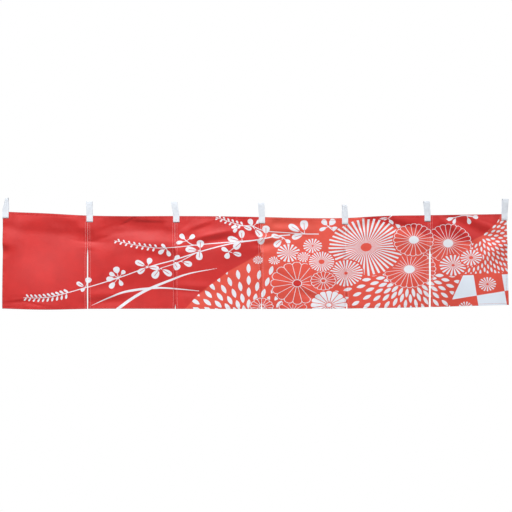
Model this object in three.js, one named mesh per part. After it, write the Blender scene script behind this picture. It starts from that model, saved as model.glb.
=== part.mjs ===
// A long, low noren: printed cloth panels sewn side by side along their upper third, slit below
// that, and hung by white tape loops. Millimetres, +X along the pole, -Y to the viewer, +Z up.
// The origin is on the hanging line, under the crown of the middle loop.
import * as THREE from "three";

// Cloth
const PANEL_WIDTH = 1750 / 6; // each panel as cut and hemmed
const PANEL_DROP = 320; // top edge to bottom hem, as cut and hemmed
const CLOTH_THICKNESS = 1.2;
const HEM_THICKNESS = 1.8;
const HEM_WIDTH = 9;
const HEM_STEP = 1.5; // width over which the hem thins to the single cloth
const SEWN_DROP = 105; // panels are joined this far down; the slit runs from there to the hem
const PIECE_GAP = 0.4;

// Tape loops
const TAPE_WIDTH = 21;
const TAPE_THICKNESS = 1.2;
const TAPE_CLEARANCE = 0.4; // between a loop's legs and the hem that they are sewn to
const TAIL_DROP = 22; // sewn ends below the cloth's top edge

// Mesh divisions
const COLUMNS_BETWEEN_LOOPS = 14;
const UPPER_ROWS = 9;
const LOWER_ROWS = 6;
const UPPER_ROWS_DROP = 140;
const LEG_STEPS = 9;
const CROWN_STEPS = 8;

// Where the cloth hangs: its top edge and bottom hem at places along the pole.
const OUTLINE = [
  { x: -854.5, top: -32.5, bottom: -353.6 },
  { x: -714.0, top: -37.8, bottom: -357.0 },
  { x: -573.5, top: -44.6, bottom: -355.8 },
  { x: -429.0, top: -46.2, bottom: -356.4 },
  { x: -284.5, top: -45.3, bottom: -357.0 },
  { x: -139.5, top: -45.9, bottom: -357.6 },
  { x: 5.5, top: -47.8, bottom: -358.2 },
  { x: 146.5, top: -50.4, bottom: -358.8 },
  { x: 287.5, top: -50.3, bottom: -358.3 },
  { x: 431.0, top: -42.6, bottom: -356.4 },
  { x: 575.0, top: -39.9, bottom: -354.7 },
  { x: 713.0, top: -37.0, bottom: -351.8 },
  { x: 852.0, top: -34.8, bottom: -348.2 },
];

// Panel edges, left to right. flare moves the hem sideways. Below the sewn part a slit stands open by
// midGap and, at the hem, by hemGap, where a negative gap is a lap. Its two edges, that of the panel
// on the left first, turn towards the viewer by the lifts.
const SEAMS = [
  { x: -853.5, flare: -2, midGap: 0, hemGap: 0, leftLift: 0, rightLift: -3 },
  { x: -575.5, flare: 0, midGap: 3.2, hemGap: 2.4, leftLift: -1.5, rightLift: -2.5 },
  { x: -286.0, flare: 1.6, midGap: -2.4, hemGap: 2, leftLift: -3, rightLift: 3 },
  { x: 2.2, flare: 3.4, midGap: -1.6, hemGap: 4, leftLift: -2.6, rightLift: 2.6 },
  { x: 291.7, flare: 4.8, midGap: -2.4, hemGap: 3, leftLift: -3, rightLift: 3 },
  { x: 585.0, flare: -1, midGap: 5.8, hemGap: 6.2, leftLift: -2.5, rightLift: -1.5 },
  { x: 852.0, flare: 10, midGap: 0, hemGap: 0, leftLift: -3, rightLift: 0 },
];
const SLIT_LIFT = { from: SEWN_DROP, to: SEWN_DROP + 22 }; // drops over which a slit's edges turn
const SLIT_OPEN = { from: SEWN_DROP + 14, to: SEWN_DROP + 50 }; // then open or lap
const SLIT_HEM = { from: 0.9 * PANEL_DROP, to: PANEL_DROP }; // and come to their gap at the hem
const EDGE_REACH = 26; // how far in from a slit the cloth follows its lifted edge

// Soft folds. rise lifts the crest towards the viewer (a negative one is a trough), and slant tips the
// cloth across it: the upper side forwards and the lower side back. drop is below the top edge, and
// tilt turns the crest, in degrees, so that a positive one climbs to the right.
const FOLDS = [
  { x: -690, drop: 36, length: 260, width: 62, tilt: -1, rise: 0, slant: 1.4 },
  { x: -615, drop: 46, length: 110, width: 66, tilt: -6, rise: 0, slant: 1.6 },
  { x: -832, drop: 46, length: 80, width: 150, tilt: 0, rise: 0, slant: -6 },
  { x: -724, drop: 175, length: 280, width: 290, tilt: 2, rise: 0, slant: -8 },
  { x: -846, drop: 122, length: 46, width: 44, tilt: 0, rise: -2, slant: 2.2 },
  { x: -556, drop: 68, length: 110, width: 66, tilt: 0, rise: 0, slant: 3.2 },
  { x: -500, drop: 26, length: 130, width: 50, tilt: 8, rise: 0, slant: 1.8 },
  { x: -440, drop: 10, length: 175, width: 66, tilt: 2, rise: -1.5, slant: 4 },
  { x: -352, drop: 22, length: 150, width: 56, tilt: -4, rise: 0, slant: 2.2 },
  { x: -392, drop: 60, length: 220, width: 56, tilt: 3, rise: 0, slant: 0.8 },
  { x: -345, drop: 124, length: 170, width: 62, tilt: -4, rise: 0, slant: 2.6 },
  { x: -513, drop: 283, length: 130, width: 42, tilt: 3, rise: 0, slant: 2.6 },
  { x: -430, drop: 205, length: 260, width: 190, tilt: 3, rise: 0, slant: 4 },
  { x: -183, drop: 48, length: 180, width: 44, tilt: 16, rise: 0, slant: 0.5 },
  { x: -151, drop: 73, length: 130, width: 38, tilt: 12, rise: 0, slant: 3.8 },
  { x: -60, drop: 120, length: 130, width: 90, tilt: 10, rise: 0, slant: 2 },
  { x: -150, drop: 195, length: 240, width: 180, tilt: -4, rise: 0, slant: 2.5 },
  { x: 80, drop: 50, length: 150, width: 44, tilt: -2, rise: 0, slant: 2.6 },
  { x: -28, drop: 50, length: 110, width: 36, tilt: -58, rise: -2, slant: 1.5 },
  { x: 160, drop: 190, length: 230, width: 130, tilt: 4, rise: 4, slant: 0 },
  { x: 330, drop: 26, length: 110, width: 42, tilt: 18, rise: 0, slant: 2 },
  { x: 480, drop: 26, length: 170, width: 44, tilt: -14, rise: 0, slant: 2 },
  { x: 440, drop: 160, length: 230, width: 110, tilt: 5, rise: -4, slant: 0 },
  { x: 664, drop: 50, length: 190, width: 36, tilt: -32, rise: 0, slant: 2 },
  { x: 742, drop: 36, length: 150, width: 44, tilt: -30, rise: 0, slant: 2.4 },
  { x: 805, drop: 60, length: 110, width: 50, tilt: -20, rise: 0, slant: 2 },
  { x: 800, drop: 120, length: 170, width: 64, tilt: 28, rise: 4, slant: -1.5 },
  { x: 690, drop: 230, length: 220, width: 120, tilt: -6, rise: 4, slant: 0 },
];
const SLANT_PEAK = Math.sqrt(2 * Math.E); // makes slant the height of the tipped cloth's crest

// Slow waves along the pole: each panel's middle swings to the viewer by bow.
const BOWS = [9, -5, 6, -7, 5, -8];

// Loops, left to right, where their ends are sewn. rise is the crown's height above the cloth's top
// edge, lean shifts the crown sideways, and pinch is the share of its width that the tape keeps at
// the crown, where some loops are gathered.
const LOOPS = [
  { x: -844.5, rise: 46.5, lean: 5.5, pinch: 0.45 },
  { x: -568.4, rise: 48.5, lean: -1.5, pinch: 1 },
  { x: -281.0, rise: 49.3, lean: -7.5, pinch: 1 },
  { x: 7.0, rise: 49.0, lean: -2.5, pinch: 1 },
  { x: 290.5, rise: 45.5, lean: -2, pinch: 0.8 },
  { x: 575.4, rise: 48.6, lean: -3.5, pinch: 1 },
  { x: 844.6, rise: 53.0, lean: 3, pinch: 1 },
];
const LOOP_WIDE_AT = 40; // height at which a loop's legs are farthest apart
const LOOP_HALF_GAP = 4.6; // half of that gap, to the tape's centreline, and the crown's radius
const PINCH_FROM = 4; // a gathered loop starts to narrow this far above the cloth
const LOOP_HOLD = { across: 24, down: 28 }; // the cloth stays flat this near a loop
const HOLD_EASE = 1.2; // and takes its folds over this many times as far again

const CLOTH = new THREE.MeshStandardMaterial({ color: 0xd8463f, roughness: 0.8, metalness: 0 });
const TAPE = new THREE.MeshStandardMaterial({ color: 0xe9eef5, roughness: 0.85, metalness: 0 });

const { lerp, clamp, smoothstep, degToRad } = THREE.MathUtils;
const gauss = (distance, reach) => Math.exp(-((distance / reach) ** 2));

// Smooth curve through the outline's rows: cubic Hermite with centred slopes.
function outlineAt(x, key) {
  const last = OUTLINE.length - 1;
  const next = OUTLINE.findIndex((row) => row.x > x);
  const i = next < 0 ? last - 1 : Math.max(0, next - 1);
  const [before, a, b, after] = [i - 1, i, i + 1, i + 2].map((k) => OUTLINE[clamp(k, 0, last)]);
  const span = b.x - a.x;
  const t = clamp((x - a.x) / span, 0, 1);
  const slopeA = (b[key] - before[key]) / (b.x - before.x);
  const slopeB = (after[key] - a[key]) / (after.x - a.x);
  const s = t * t * (3 - 2 * t);
  const startPull = t * (1 - t) * (1 - t) * span * slopeA;
  const endPull = t * t * (1 - t) * span * slopeB;
  return lerp(a[key], b[key], s) + startPull - endPull;
}

function foldRise(fold, x, drop) {
  const turn = degToRad(fold.tilt);
  const dx = x - fold.x;
  const up = fold.drop - drop;
  const along = dx * Math.cos(turn) + up * Math.sin(turn);
  const across = up * Math.cos(turn) - dx * Math.sin(turn);
  const share = across / (fold.width / 2);
  const height = fold.rise + fold.slant * SLANT_PEAK * share;
  return height * gauss(along, fold.length / 2) * gauss(share, 1);
}

// How far the hanging cloth stands towards the viewer at x along the pole and drop below its top.
function clothRise(x, drop) {
  let rise = 0;
  BOWS.forEach((bow, i) => {
    const middle = (SEAMS[i].x + SEAMS[i + 1].x) / 2;
    rise += bow * gauss(x - middle, PANEL_WIDTH / 3);
  });
  for (const fold of FOLDS) rise += foldRise(fold, x, drop);
  for (const loop of LOOPS) {
    const beside = Math.max(0, Math.abs(x - loop.x) / LOOP_HOLD.across - 1);
    const below = Math.max(0, drop / LOOP_HOLD.down - 1);
    rise *= smoothstep(Math.hypot(beside, below), 0, HOLD_EASE);
  }
  return rise;
}

// How far one edge stands back from its seam's line, at drop below the top edge.
function standOff(seam, drop) {
  const gap = lerp(seam.midGap, seam.hemGap, smoothstep(drop, SLIT_HEM.from, SLIT_HEM.to));
  return (PIECE_GAP + gap * smoothstep(drop, SLIT_OPEN.from, SLIT_OPEN.to)) / 2;
}

// The middle of the cloth at a share across the panel (0 left, 1 right) and a drop from 0 to 1.
function clothPoint(panel, across, down) {
  const [left, right] = [SEAMS[panel], SEAMS[panel + 1]];
  const drop = down * PANEL_DROP;
  const leftX = left.x + left.flare * down + standOff(left, drop);
  const rightX = right.x + right.flare * down - standOff(right, drop);
  const x = lerp(leftX, rightX, across);
  const z = lerp(outlineAt(x, "top"), outlineAt(x, "bottom"), down);
  const fromLeft = gauss(across * PANEL_WIDTH, EDGE_REACH);
  const fromRight = gauss((1 - across) * PANEL_WIDTH, EDGE_REACH);
  const turned = smoothstep(drop, SLIT_LIFT.from, SLIT_LIFT.to);
  const lift = (left.rightLift * fromLeft + right.leftLift * fromRight) * turned;
  return new THREE.Vector3(x, -(clothRise(x, drop) + lift), z);
}

// The cloth's unit normal towards the viewer, from small steps across and down.
function clothNormal(panel, across, down) {
  const step = 1e-3;
  const sideways = clothPoint(panel, across + step, down).sub(clothPoint(panel, across - step, down));
  const downwards = clothPoint(panel, across, down + step).sub(clothPoint(panel, across, down - step));
  return downwards.cross(sideways).normalize();
}

// Division lines over a length whose two ends are hemmed, each at a share from 0 to 1.
function hemmedDivisions(size, inner) {
  const places = [0, HEM_WIDTH - HEM_STEP, HEM_WIDTH, ...inner];
  places.push(size - HEM_WIDTH, size - HEM_WIDTH + HEM_STEP, size);
  const inHem = (place) => Math.min(place, size - place) < HEM_WIDTH - HEM_STEP / 2;
  return places.map((place) => ({ at: place / size, hem: inHem(place) }));
}

function evenly(from, to, count) {
  return Array.from({ length: count - 1 }, (_, i) => lerp(from, to, (i + 1) / count));
}

// Closed shell from two matching grids of points, the front facing the viewer.
function shell(front, back) {
  const rows = front.length;
  const columns = front[0].length;
  const [foot, end] = [rows - 1, columns - 1];
  const points = [...front.flat(), ...back.flat()];
  const at = (side, row, column) => (side * rows + row) * columns + column;
  const index = [];
  const quad = (a, b, c, d) => index.push(a, b, c, a, c, d);
  for (let r = 0; r < foot; r++) {
    for (let c = 0; c < end; c++) {
      quad(at(0, r, c), at(0, r + 1, c), at(0, r + 1, c + 1), at(0, r, c + 1));
      quad(at(1, r, c), at(1, r, c + 1), at(1, r + 1, c + 1), at(1, r + 1, c));
    }
  }
  for (let c = 0; c < end; c++) {
    quad(at(0, 0, c), at(0, 0, c + 1), at(1, 0, c + 1), at(1, 0, c));
    quad(at(0, foot, c), at(1, foot, c), at(1, foot, c + 1), at(0, foot, c + 1));
  }
  for (let r = 0; r < foot; r++) {
    quad(at(0, r, 0), at(1, r, 0), at(1, r + 1, 0), at(0, r + 1, 0));
    quad(at(0, r, end), at(0, r + 1, end), at(1, r + 1, end), at(1, r, end));
  }
  return new THREE.BufferGeometry().setFromPoints(points).setIndex(index);
}

// One panel: a thin sheet in its hanging folds, thicker along its four hems.
function panelGeometry(panel) {
  const { across, down } = LOOP_HOLD;
  const columns = hemmedDivisions(PANEL_WIDTH, [
    across,
    ...evenly(across, PANEL_WIDTH - across, COLUMNS_BETWEEN_LOOPS),
    PANEL_WIDTH - across,
  ]);
  const rows = hemmedDivisions(PANEL_DROP, [
    down,
    ...evenly(down, UPPER_ROWS_DROP, UPPER_ROWS),
    UPPER_ROWS_DROP,
    ...evenly(UPPER_ROWS_DROP, PANEL_DROP - HEM_WIDTH, LOWER_ROWS),
  ]);
  const skin = (side) =>
    rows.map((row) =>
      columns.map((column) => {
        const thickness = row.hem || column.hem ? HEM_THICKNESS : CLOTH_THICKNESS;
        const normal = clothNormal(panel, column.at, row.at);
        return clothPoint(panel, column.at, row.at).addScaledVector(normal, (side * thickness) / 2);
      }),
    );
  return shell(skin(1), skin(-1));
}

// Where a loop's legs end and its round crown begins, above the cloth's top edge.
const crownStart = (loop) => loop.rise - TAPE_THICKNESS / 2 - LOOP_HALF_GAP;

// The tape's half gap at a height above the cloth's top edge: widening from the sewn ends.
function halfGap(height) {
  const sewn = (HEM_THICKNESS + TAPE_THICKNESS) / 2 + TAPE_CLEARANCE;
  return lerp(sewn, LOOP_HALF_GAP, clamp(height / LOOP_WIDE_AT, 0, 1));
}

// The tape's centreline from the front end over the crown to the back end: x is the depth, positive
// to the back, and y the height above the cloth's top edge.
function tapeLine(loop) {
  const legEnd = crownStart(loop);
  const leg = [new THREE.Vector2(halfGap(0), -TAIL_DROP)];
  for (let i = 0; i < LEG_STEPS; i++) {
    const height = (legEnd * i) / LEG_STEPS;
    leg.push(new THREE.Vector2(halfGap(height), height));
  }
  const crown = Array.from({ length: CROWN_STEPS + 1 }, (_, i) => {
    const angle = Math.PI * (1 - i / CROWN_STEPS);
    const [depth, height] = [Math.cos(angle), Math.sin(angle)];
    return new THREE.Vector2(LOOP_HALF_GAP * depth, legEnd + LOOP_HALF_GAP * height);
  });
  const front = leg.map((p) => new THREE.Vector2(-p.x, p.y));
  return [...front, ...crown, ...leg.reverse()];
}

// One loop: a tape carried over its centreline, leaning as it rises and gathered if it is pinched.
function loopGeometry(loop) {
  const line = tapeLine(loop);
  const top = outlineAt(loop.x, "top");
  const place = (width, depth, height) => {
    const risen = clamp(height / loop.rise, 0, 1);
    const kept = lerp(1, loop.pinch, smoothstep(height, PINCH_FROM, loop.rise));
    const x = loop.x + loop.lean * risen + width * kept;
    return new THREE.Vector3(x, depth, top + height);
  };
  const skin = (side) =>
    line.map((p, i) => {
      const along = line[Math.min(i + 1, line.length - 1)].clone().sub(line[Math.max(i - 1, 0)]);
      const outwards = new THREE.Vector2(-along.y, along.x).normalize();
      const q = p.clone().addScaledVector(outwards, (side * TAPE_THICKNESS) / 2);
      return [TAPE_WIDTH / 2, -TAPE_WIDTH / 2].map((width) => place(width, q.x, q.y));
    });
  return shell(skin(1), skin(-1));
}

function named(name, geometry, material) {
  const mesh = new THREE.Mesh(geometry, material);
  mesh.name = name;
  return mesh;
}

const noren = new THREE.Group();
BOWS.forEach((_, i) => noren.add(named(`panel_${i + 1}`, panelGeometry(i), CLOTH)));
LOOPS.forEach((loop, i) => noren.add(named(`loop_${i + 1}`, loopGeometry(loop), TAPE)));

export default noren;
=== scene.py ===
# Looks of a long, low noren: six printed cloth panels, hemmed, sewn side by side along their upper
# third and hung by seven white tape loops. Sizes are in millimetres unless a name says otherwise,
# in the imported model's frame: +X along the pole, -Y to the viewer, +Z up.
import math
from collections import namedtuple
from functools import reduce

import bpy
import numpy as np
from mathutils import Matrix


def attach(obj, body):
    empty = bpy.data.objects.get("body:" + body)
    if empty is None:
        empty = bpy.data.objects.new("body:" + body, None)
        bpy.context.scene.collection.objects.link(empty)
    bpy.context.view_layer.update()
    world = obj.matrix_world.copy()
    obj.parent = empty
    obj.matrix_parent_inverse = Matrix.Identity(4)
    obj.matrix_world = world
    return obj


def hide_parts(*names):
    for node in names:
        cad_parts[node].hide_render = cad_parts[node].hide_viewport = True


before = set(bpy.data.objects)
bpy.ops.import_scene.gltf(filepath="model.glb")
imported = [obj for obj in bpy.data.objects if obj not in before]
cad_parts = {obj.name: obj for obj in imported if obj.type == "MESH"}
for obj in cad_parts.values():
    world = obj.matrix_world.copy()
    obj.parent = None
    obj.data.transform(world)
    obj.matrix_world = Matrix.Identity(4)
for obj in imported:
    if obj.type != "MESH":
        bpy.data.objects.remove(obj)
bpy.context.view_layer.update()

MM = 0.001


def table(kind, values):
    """A named row for each plain one."""
    return [kind(*row) for row in values]


# Cloth and tape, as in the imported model
PANEL_WIDTH = 1750 / 6
PANEL_DROP = 320
SEWN_DROP = 105
PIECE_GAP = 0.4
HEM_WIDTH = 9
SOLID_TAPE = 1.2
TAPE_WIDTH = 21
TAIL_DROP = 22

# Where the cloth hangs: its top edge and bottom hem at places along the pole.
Outline = namedtuple("Outline", "x top bottom")
OUTLINE = table(Outline, [
    (-854.5, -32.5, -353.6),
    (-714.0, -37.8, -357.0),
    (-573.5, -44.6, -355.8),
    (-429.0, -46.2, -356.4),
    (-284.5, -45.3, -357.0),
    (-139.5, -45.9, -357.6),
    (5.5, -47.8, -358.2),
    (146.5, -50.4, -358.8),
    (287.5, -50.3, -358.3),
    (431.0, -42.6, -356.4),
    (575.0, -39.9, -354.7),
    (713.0, -37.0, -351.8),
    (852.0, -34.8, -348.2),
])

# Panel edges. flare moves the hem sideways; a negative gap is a lap; lifts turn a slit's two edges
# towards the viewer, that of the panel on the left first.
Seam = namedtuple("Seam", "x flare mid_gap hem_gap left_lift right_lift")
SEAMS = table(Seam, [
    (-853.5, -2, 0, 0, 0, -3),
    (-575.5, 0, 3.2, 2.4, -1.5, -2.5),
    (-286.0, 1.6, -2.4, 2, -3, 3),
    (2.2, 3.4, -1.6, 4, -2.6, 2.6),
    (291.7, 4.8, -2.4, 3, -3, 3),
    (585.0, -1, 5.8, 6.2, -2.5, -1.5),
    (852.0, 10, 0, 0, -3, 0),
])
SLIT_LIFT = (SEWN_DROP, SEWN_DROP + 22)
SLIT_OPEN = (SEWN_DROP + 2, SEWN_DROP + 38)
SLIT_HEM = (0.9 * PANEL_DROP, PANEL_DROP)
EDGE_REACH = 26

# Soft folds. rise lifts the crest towards the viewer, and slant tips the cloth across it: the upper
# side forwards and the lower side back. A positive tilt, in degrees, climbs to the right.
Fold = namedtuple("Fold", "x drop length width tilt rise slant")
FOLDS = table(Fold, [
    (-690, 36, 260, 62, -1, 0, 1.4), (-615, 46, 110, 66, -6, 0, 1.6),
    (-832, 46, 80, 150, 0, 0, -6), (-724, 175, 280, 290, 2, 0, -8),
    (-846, 122, 46, 44, 0, -2, 2.2), (-556, 68, 110, 66, 0, 0, 3.2),
    (-500, 26, 130, 50, 8, 0, 1.8), (-440, 10, 175, 66, 2, -1.5, 4),
    (-352, 22, 150, 56, -4, 0, 2.2), (-392, 60, 220, 56, 3, 0, 0.8),
    (-345, 124, 170, 62, -4, 0, 2.6), (-513, 283, 130, 42, 3, 0, 2.6),
    (-430, 205, 260, 190, 3, 0, 4), (-183, 48, 180, 44, 16, 0, 0.5),
    (-151, 73, 130, 38, 12, 0, 3.8), (-60, 120, 130, 90, 10, 0, 2),
    (-150, 195, 240, 180, -4, 0, 2.5), (80, 50, 150, 44, -2, 0, 2.6),
    (-28, 50, 110, 36, -58, -2, 1.5), (160, 190, 230, 130, 4, 4, 0),
    (330, 26, 110, 42, 18, 0, 2), (480, 26, 170, 44, -14, 0, 2),
    (440, 160, 230, 110, 5, -4, 0), (664, 50, 190, 36, -32, 0, 2),
    (742, 36, 150, 44, -30, 0, 2.4), (805, 60, 110, 50, -20, 0, 2),
    (800, 120, 170, 64, 28, 4, -1.5), (690, 230, 220, 120, -6, 4, 0),
])
SLANT_PEAK = math.sqrt(2 * math.e)
BOWS = [9, -5, 6, -7, 5, -8]
BOW_REACH = PANEL_WIDTH / 3

# Creases too fine for the imported model.
CREASES = table(Fold, [
    (-742, 285, 150, 34, 4, -1.5, 1), (-235, 8, 130, 30, 0, 0, -0.2),
    (-202, 36, 90, 22, 19, 0, 1.2), (-225, 251, 130, 32, -2, 0, 1.6),
    (-780, 20, 130, 46, 0, 0, -1.1), (-735, 57, 190, 34, -1, 0, 0.5),
    (-672, 36, 60, 44, 0, 0, -1), (-650, 100, 120, 130, 0, 0, -1),
    (-632, 24, 60, 32, 0, 0, 0.6), (-838, 118, 40, 44, 0, 0, -0.9),
    (-545, 28, 60, 42, 0, 0, 1.5), (-515, 26, 46, 40, 0, 0, -0.65),
    (-515, 52, 46, 28, 0, 0, 0.2), (-500, 138, 60, 50, 0, 0, 0.5),
    (-475, 20, 50, 34, 0, 0, -0.7), (-475, 50, 50, 30, 0, 0, 0.8),
    (-390, 30, 150, 48, 2, 0, 2.4), (-395, 64, 190, 36, 3, 0, 0.8),
    (70, 12, 210, 40, 0, 0, 2.4), (26, 84, 90, 34, 6, 0, 3.2),
    (470, 60, 170, 40, -12, 0, -0.9), (640, 20, 100, 40, -25, 0, -1.6),
    (-800, 292, 80, 13, 8, 0, 0.7), (-742, 300, 60, 12, -10, 0, 0.6),
    (-590, 58, 40, 9, 84, -0.9, 0), (-562, 58, 40, 9, 96, -0.9, 0),
    (-566, 90, 80, 12, -3, -1.1, 0), (-530, 78, 80, 14, 20, -0.9, 0),
    (-520, 34, 110, 15, 20, 0.8, 0), (-440, 14, 60, 11, 30, 0, 0.8),
    (-370, 18, 110, 13, -3, 0, 0.7), (-400, 46, 180, 30, 2, 0, 1.2),
    (-372, 98, 150, 42, -3, 0, 1.9), (-380, 124, 140, 32, -3, 0, 0.5),
    (-350, 8, 100, 30, 0, 0, 0.5), (-275, 46, 60, 60, 0, 0, 0.8),
    (-240, 64, 60, 30, 10, 0, 0.6), (168, 264, 90, 32, -28, 0, 2.6),
    (78, 194, 110, 36, -24, 0, 1.2), (-330, 104, 130, 12, -8, 0.7, 0),
    (-250, 30, 80, 12, 40, -0.7, 0), (-165, 64, 150, 12, 13, 0.9, 0),
    (-60, 36, 70, 12, -58, 0.8, 0), (40, 28, 70, 12, 38, -0.7, 0),
    (330, 44, 70, 12, -30, 0.8, 0), (500, 34, 110, 12, -16, -0.8, 0),
    (610, 28, 60, 12, -36, 0.8, 0), (690, 58, 130, 13, -33, 0.9, 0),
    (790, 30, 90, 12, -20, -0.8, 0),
])

# Loops, where their ends are sewn. rise is the crown's height above the cloth, lean shifts the crown
# sideways, and pinch is the share of its width that a gathered tape keeps there.
Loop = namedtuple("Loop", "x rise lean pinch")
LOOPS = table(Loop, [
    (-844.5, 46.5, 5.5, 0.45),
    (-568.4, 48.5, -1.5, 1),
    (-281.0, 49.3, -7.5, 1),
    (7.0, 49.0, -2.5, 1),
    (290.5, 45.5, -2.0, 0.8),
    (575.4, 48.6, -3.5, 1),
    (844.6, 53.0, 3.0, 1),
])
LOOP_WIDE_AT = 40
LOOP_HALF_GAP = 4.6
PINCH_FROM = 4
LOOP_HOLD_ACROSS = 24
LOOP_HOLD_DOWN = 28
HOLD_EASE = 1.2

# Cloth mesh: division lines near an edge, then even ones; skins on both sides of the middle.
HEM_LINES = [0, 0.35, 0.8, 1.8, 3.2, 4.6, 5.8, 6.6, 7.2, 7.8, 8.4, 9.2, 10.4]
CELL = 2.0
HALF_CLOTH = 0.25
HEM_BACK = 0.85
EDGE_ROUND = 0.8
HEM_TURN = (7.8, 9.2)
# How much farther the sewn part of a side counts, so that less painted shade darkens it.
SEWN_SHADE_REACH = 1.2
NORMAL_STEP = 0.3

# Hems: ripples between the stitches and the trough that the thread pulls.
RIPPLE_RISE = 0.45
RIPPLE_WAVES = (17.0, 29.0, 11.0)
PANEL_PHASE = 2.1
SIDE_PHASE = 1.3
SIDE_STITCH = 7.2
TOP_STITCH = 8.4
FOOT_STITCH = 5.8
STITCH_TROUGH = 0.3
STITCH_REACH = 1.0

# Thread: each stitch is a small grain lying along its line.
STITCH_PITCH = 2.4
STITCH_LENGTH = 2.3
STITCH_HALF_WIDTH = 0.45
STITCH_SWAY = 0.1
STITCH_HEIGHT = 0.34
STITCH_SECTIONS = [(-0.5, 0.2), (-0.3, 0.9), (0.3, 0.9), (0.5, 0.2)]
STITCH_SIDES = 5
STITCH_INSET = 1.5
STITCH_SEED = 11


# Smooth helpers

def lerp(a, b, share):
    return a + (b - a) * share


def smoothstep(value, start, end):
    t = np.clip((value - start) / (end - start), 0, 1)
    return t * t * (3 - 2 * t)


def gauss(distance, reach):
    return np.exp(-((distance / reach) ** 2))


def outline_at(x, key):
    """Smooth curve through the outline's rows: cubic Hermite with centred slopes."""
    places = np.array([row.x for row in OUTLINE])
    heights = np.array([getattr(row, key) for row in OUTLINE])
    last = len(OUTLINE) - 1
    before = np.maximum(np.arange(last + 1) - 1, 0)
    after = np.minimum(np.arange(last + 1) + 1, last)
    slopes = (heights[after] - heights[before]) / (places[after] - places[before])
    i = np.clip(np.searchsorted(places, x, side="right") - 1, 0, last - 1)
    span = places[i + 1] - places[i]
    t = np.clip((x - places[i]) / span, 0, 1)
    start_pull = t * (1 - t) ** 2 * span * slopes[i]
    end_pull = t**2 * (1 - t) * span * slopes[i + 1]
    return lerp(heights[i], heights[i + 1], t * t * (3 - 2 * t)) + start_pull - end_pull


# The hanging cloth

def fold_rise(fold, x, drop):
    turn = math.radians(fold.tilt)
    dx = x - fold.x
    up = fold.drop - drop
    along = dx * math.cos(turn) + up * math.sin(turn)
    across = up * math.cos(turn) - dx * math.sin(turn)
    share = across / (fold.width / 2)
    height = fold.rise + fold.slant * SLANT_PEAK * share
    return height * gauss(along, fold.length / 2) * gauss(share, 1)


def cloth_rise(x, drop):
    """How far the cloth stands towards the viewer, with its folds and creases."""
    rise = np.zeros_like(x)
    for i, bow in enumerate(BOWS):
        middle = (SEAMS[i].x + SEAMS[i + 1].x) / 2
        rise += bow * gauss(x - middle, BOW_REACH)
    for fold in FOLDS + CREASES:
        rise += fold_rise(fold, x, drop)
    for loop in LOOPS:
        beside = np.maximum(0, np.abs(x - loop.x) / LOOP_HOLD_ACROSS - 1)
        below = np.maximum(0, drop / LOOP_HOLD_DOWN - 1)
        rise *= smoothstep(np.hypot(beside, below), 0, HOLD_EASE)
    return rise


def hem_ripple(panel, across, drop):
    """Small waves along the hems, and the trough along each line of stitches."""
    rise = np.zeros_like(across)
    edges = [
        (across, drop, SIDE_STITCH),
        (PANEL_WIDTH - across, drop, SIDE_STITCH),
        (drop, across, TOP_STITCH),
        (PANEL_DROP - drop, across, FOOT_STITCH),
    ]
    for side, (inward, along, stitch) in enumerate(edges):
        phase = PANEL_PHASE * panel + SIDE_PHASE * side
        wave = sum(np.sin(2 * math.pi * along / length + phase * length) for length in RIPPLE_WAVES)
        rise += RIPPLE_RISE * wave / len(RIPPLE_WAVES) * gauss(inward, HEM_WIDTH)
        rise -= STITCH_TROUGH * gauss(inward - stitch, STITCH_REACH)
    return rise


def stand_off(seam, drop):
    """How far one edge stands back from its seam's line."""
    gap = lerp(seam.mid_gap, seam.hem_gap, smoothstep(drop, *SLIT_HEM))
    return (PIECE_GAP + gap * smoothstep(drop, *SLIT_OPEN)) / 2


def cloth_point(panel, across, drop):
    """Middle of the cloth at places across a panel and down it."""
    left, right = SEAMS[panel], SEAMS[panel + 1]
    down = drop / PANEL_DROP
    left_x = left.x + left.flare * down + stand_off(left, drop)
    right_x = right.x + right.flare * down - stand_off(right, drop)
    x = lerp(left_x, right_x, across / PANEL_WIDTH)
    z = lerp(outline_at(x, "top"), outline_at(x, "bottom"), down)
    left_lift = left.right_lift * gauss(across, EDGE_REACH)
    right_lift = right.left_lift * gauss(PANEL_WIDTH - across, EDGE_REACH)
    lift = (left_lift + right_lift) * smoothstep(drop, *SLIT_LIFT)
    rise = cloth_rise(x, drop) + lift + hem_ripple(panel, across, drop)
    return np.stack((x, -rise, z), axis=-1)


def cloth_normal(panel, across, drop):
    right = cloth_point(panel, across + NORMAL_STEP, drop)
    left = cloth_point(panel, across - NORMAL_STEP, drop)
    below = cloth_point(panel, across, drop + NORMAL_STEP)
    above = cloth_point(panel, across, drop - NORMAL_STEP)
    normal = np.cross(below - above, right - left)
    return normal / np.linalg.norm(normal, axis=-1, keepdims=True)


# The print. Places are cloth millimetres: s along all six panels, t down from the top edge.

FAR = 12.0
GROUND_EDGE = [
    (602, 335), (662, 270), (702, 238), (766, 188), (804, 167), (845, 143), (872, 124),
    (876, 60), (876, -15), (1170, -15), (1290, 28), (1400, 42), (1450, 76), (1530, 80), (1600, 98),
    (1660, 74), (1712, 30), (1740, -15), (1790, -15), (1790, 335),
]

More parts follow.
